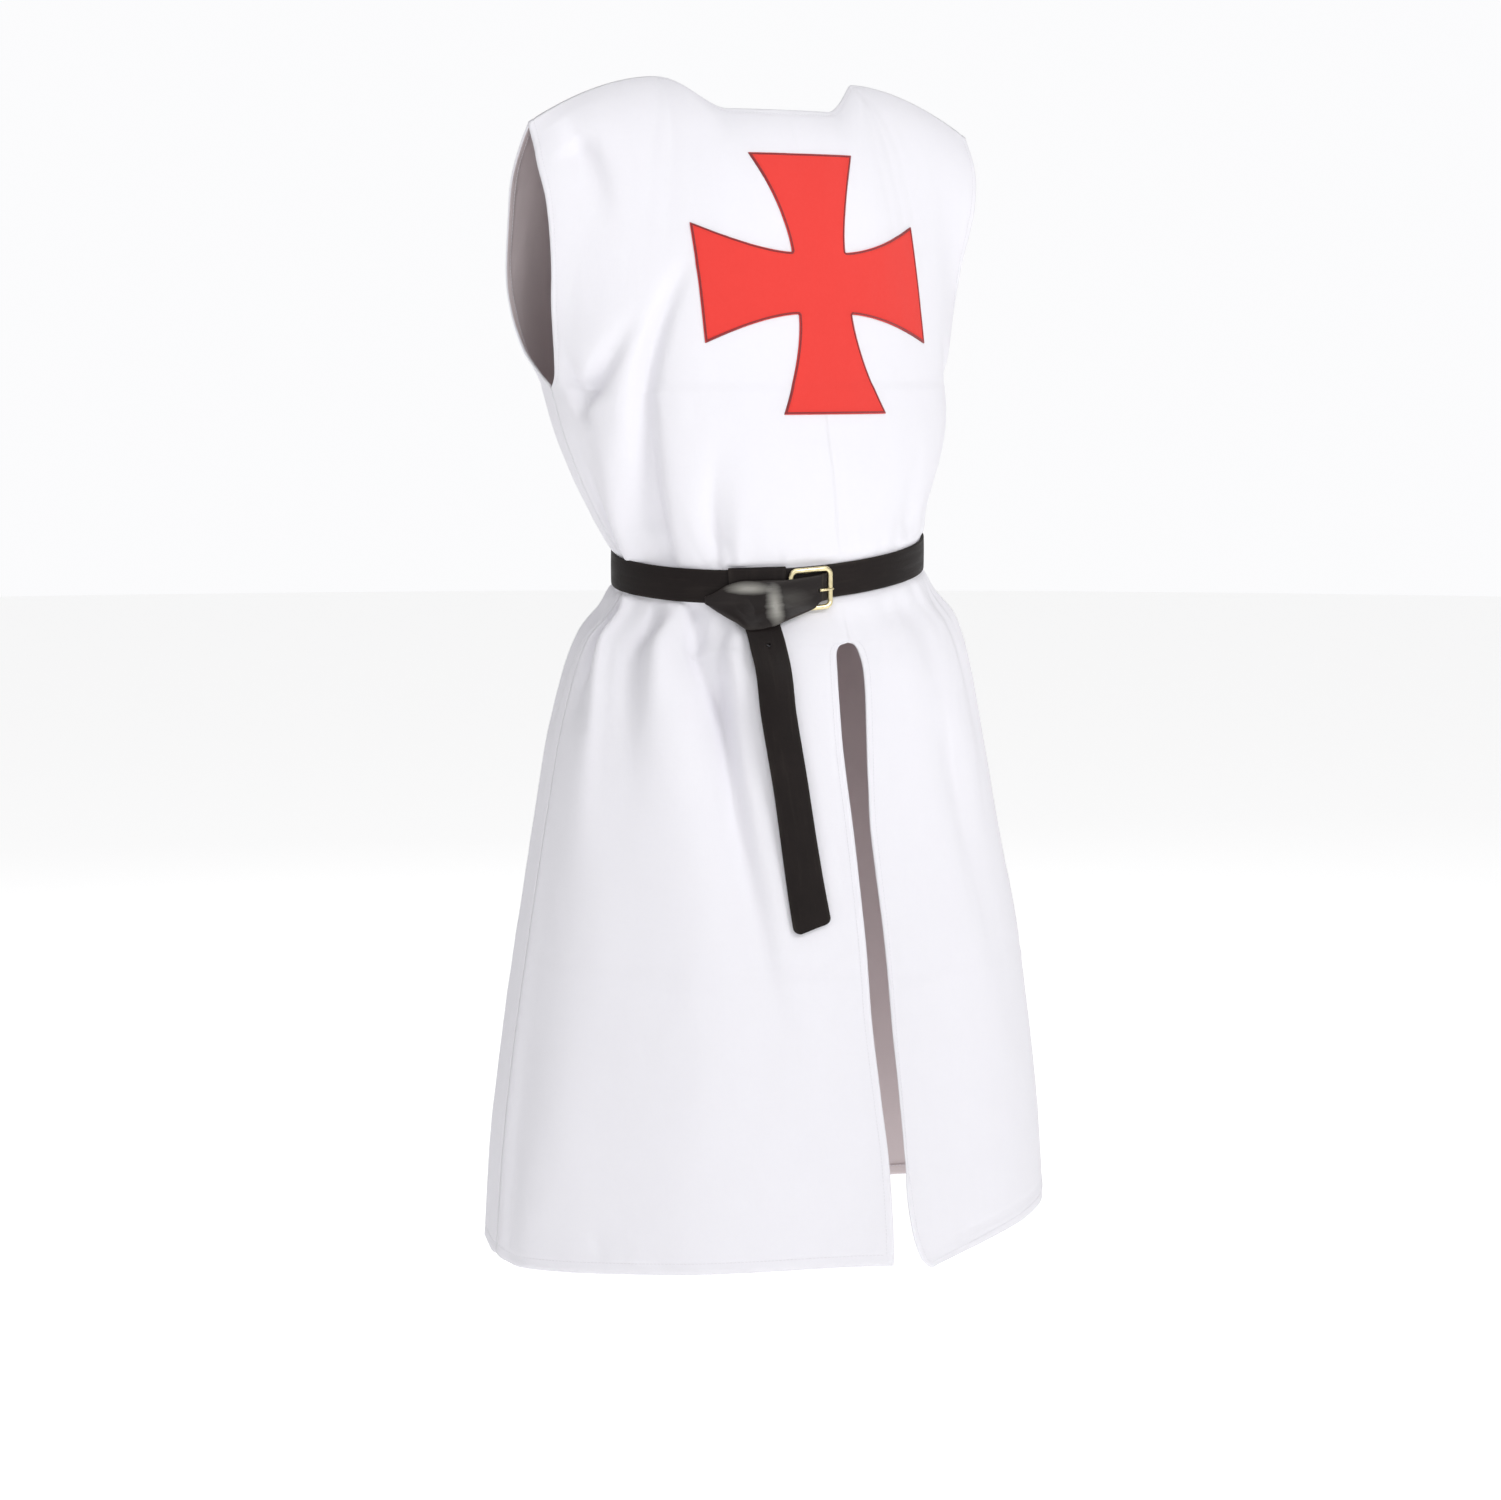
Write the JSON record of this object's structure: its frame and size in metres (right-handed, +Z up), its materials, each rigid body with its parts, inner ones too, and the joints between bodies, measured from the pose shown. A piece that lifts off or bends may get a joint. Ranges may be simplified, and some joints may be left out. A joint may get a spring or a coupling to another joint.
{
  "type": "belted medieval surcoat",
  "caption": "Sleeveless knee-length surcoat in white cloth with an applied red flared cross, a centre front slit and a knotted dark leather belt.",
  "frame": {"origin": "midway between the two neck points, where the shoulder seams meet the neckline", "axes": "+Z up, the front faces -Y, the wearer's right is -X"},
  "size_m": [0.632, 0.4269, 1.1533],
  "materials": {
    "cloth": "matte heavy cotton, plain weave",
    "red_cloth": "matte cotton with a close stitched edge",
    "belt_leather": "near-black brown, soft sheen",
    "buckle_brass": "polished pale brass"
  },
  "bodies": {
    "root": {"front_panel": "cloth", "back_panel": "cloth", "cross_applique": "red_cloth", "belt_strap": "belt_leather", "belt_wrap": "belt_leather", "belt_tail": "belt_leather", "buckle_frame": "buckle_brass", "buckle_prong": "buckle_brass"}
  },
  "joints": []
}
